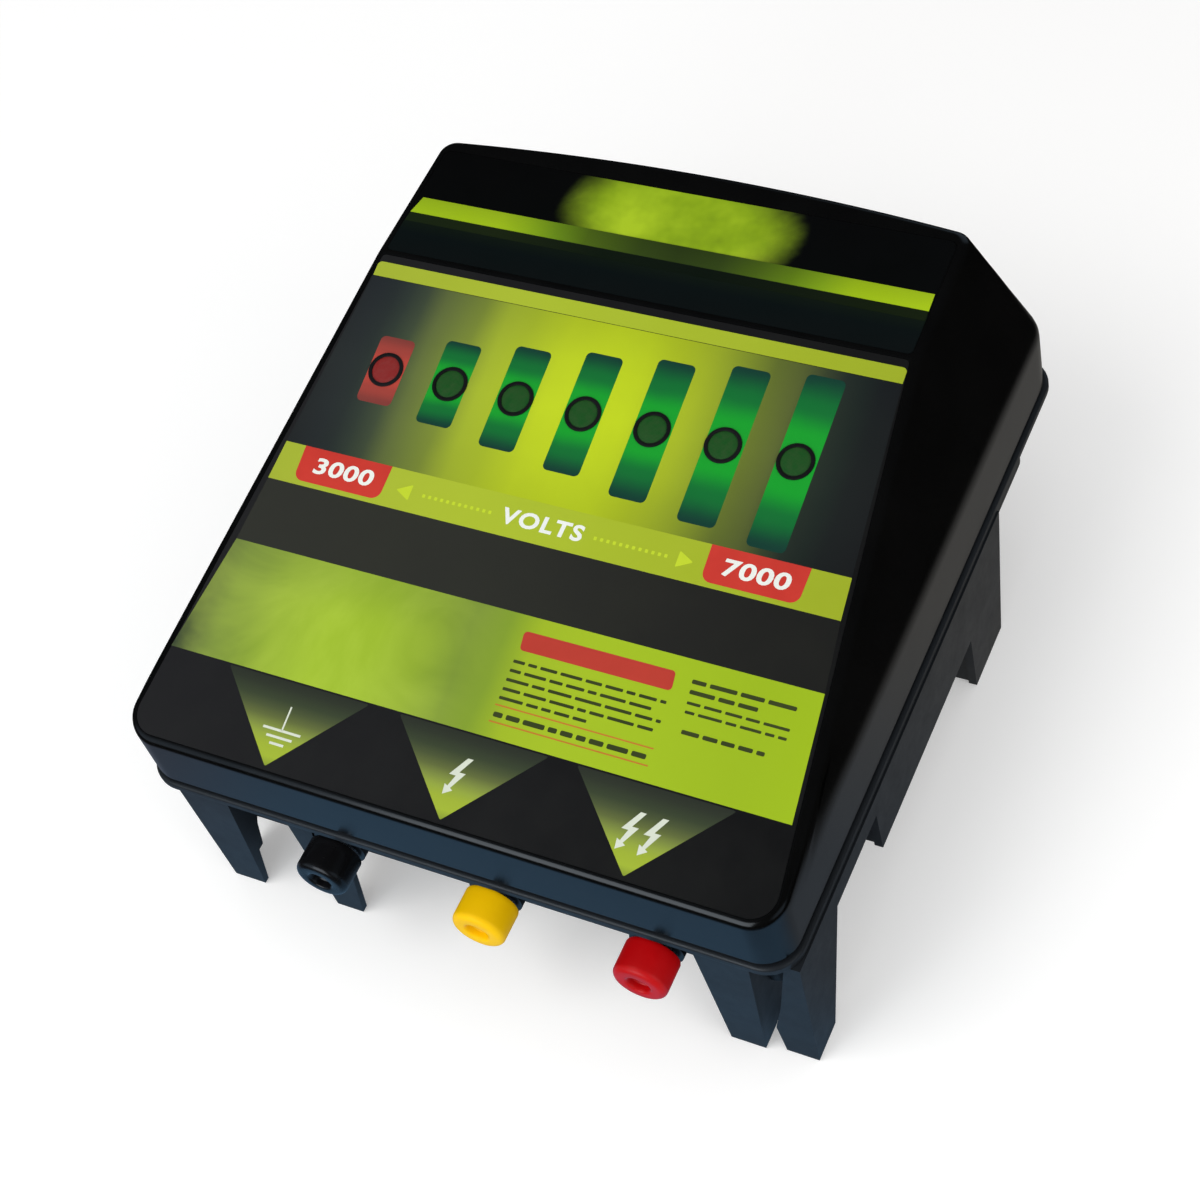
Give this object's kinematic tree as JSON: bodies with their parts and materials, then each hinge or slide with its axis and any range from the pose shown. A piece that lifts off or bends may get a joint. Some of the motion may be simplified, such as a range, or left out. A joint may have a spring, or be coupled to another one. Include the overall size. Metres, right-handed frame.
{
  "type": "fence energizer",
  "caption": "Wall-hung mains electric fence energizer: sloped gloss cover with lamp row, stepped base on legs, screw terminals with coloured knobs.",
  "frame": {"origin": "on the wall plane, on the centre line, midway between the two hanging keyholes", "axes": "+Z out of the wall, +Y up the wall towards the hanging end (away from the terminals), +X to the right seen from the front"},
  "size_m": [0.242, 0.2715, 0.1365],
  "materials": {
    "cover_plastic": "gloss moulded ABS",
    "base_plastic": "satin moulded ABS",
    "label_print": "printed polycarbonate sheet",
    "lens_red": "translucent red lens",
    "lens_green": "translucent green lens",
    "black_plastic": "satin",
    "red_plastic": "gloss moulded",
    "yellow_plastic": "gloss moulded",
    "gasket_rubber": "matt",
    "circuit_board": "solder mask",
    "steel": "zinc plated",
    "stainless": "bright",
    "laminations": "varnished laminations",
    "copper": "enamelled copper wire",
    "brass": "plain",
    "alu": "extruded",
    "film_can": "film capacitor wrap",
    "fuse_glass": "clear",
    "lead_sheath": "cable sheath",
    "plate_silver": "printed foil"
  },
  "bodies": {
    "housing": {"board_screws": "steel", "capacitor_straps": "steel", "cover_screws": "steel", "display_board": "circuit_board", "display_board_screws": "steel", "filter_capacitor": "film_can", "frame_screws": "steel", "front_cover": "cover_plastic", "front_label": "label_print", "fuse": "fuse_glass", "fuse_holder": "black_plastic", "header_label": "label_print", "heatsink": "alu", "lamp_red": "lens_red", "lamp_rings": "black_plastic", "lamp_sockets": "black_plastic", "lamps_green": "lens_green", "lead_grommet": "black_plastic", "main_board": "circuit_board", "mains_lead": "lead_sheath", "mains_terminal_block": "black_plastic", "mains_transformer_bobbin": "black_plastic", "mains_transformer_core": "laminations", "mains_transformer_winding": "copper", "output_leads": "lead_sheath", "output_lugs": "brass", "pulse_transformer_bobbin": "black_plastic", "pulse_transformer_core": "laminations", "pulse_transformer_winding": "copper", "rating_plate": "plate_silver", "rear_base": "base_plastic", "rectifier_diodes": "black_plastic", "ribbon_cable": "plate_silver", "seal_gasket": "gasket_rubber", "spark_suppressor": "film_can", "storage_capacitors": "film_can", "terminal_bushes": "black_plastic", "terminal_locknuts": "stainless", "terminal_nuts": "stainless", "terminal_studs": "stainless", "terminal_washers": "stainless", "thyristor": "black_plastic", "transformer_frame": "steel"},
    "washer_earth": {"clamp_washer_earth": "stainless"},
    "knob_earth": {"terminal_knob_earth": "black_plastic"},
    "washer_low": {"clamp_washer_low": "stainless"},
    "knob_low": {"terminal_knob_low": "yellow_plastic"},
    "washer_full": {"clamp_washer_full": "stainless"},
    "knob_full": {"terminal_knob_full": "red_plastic"}
  },
  "joints": [
    {"name": "earth_travel", "type": "slide", "parent": "housing", "child": "washer_earth", "axis": [0, -1, 0], "range_m": [0, 0.005]},
    {"name": "earth_turn", "type": "hinge", "parent": "washer_earth", "child": "knob_earth", "pos_m": [-0.047, -0.176, 0.0465], "axis": [0, -1, 0], "range_deg": [0, 1799.9]},
    {"name": "low_travel", "type": "slide", "parent": "housing", "child": "washer_low", "axis": [0, -1, 0], "range_m": [0, 0.005]},
    {"name": "low_turn", "type": "hinge", "parent": "washer_low", "child": "knob_low", "pos_m": [0.013, -0.176, 0.0465], "axis": [0, -1, 0], "range_deg": [0, 1799.9]},
    {"name": "full_travel", "type": "slide", "parent": "housing", "child": "washer_full", "axis": [0, -1, 0], "range_m": [0, 0.005]},
    {"name": "full_turn", "type": "hinge", "parent": "washer_full", "child": "knob_full", "pos_m": [0.0712, -0.176, 0.0465], "axis": [0, -1, 0], "range_deg": [0, 1799.9]}
  ],
  "couplings": [
    {"joint": "earth_travel", "follows": "earth_turn", "m_per_rad": 0.00015915},
    {"joint": "low_travel", "follows": "low_turn", "m_per_rad": 0.00015915},
    {"joint": "full_travel", "follows": "full_turn", "m_per_rad": 0.00015915}
  ]
}
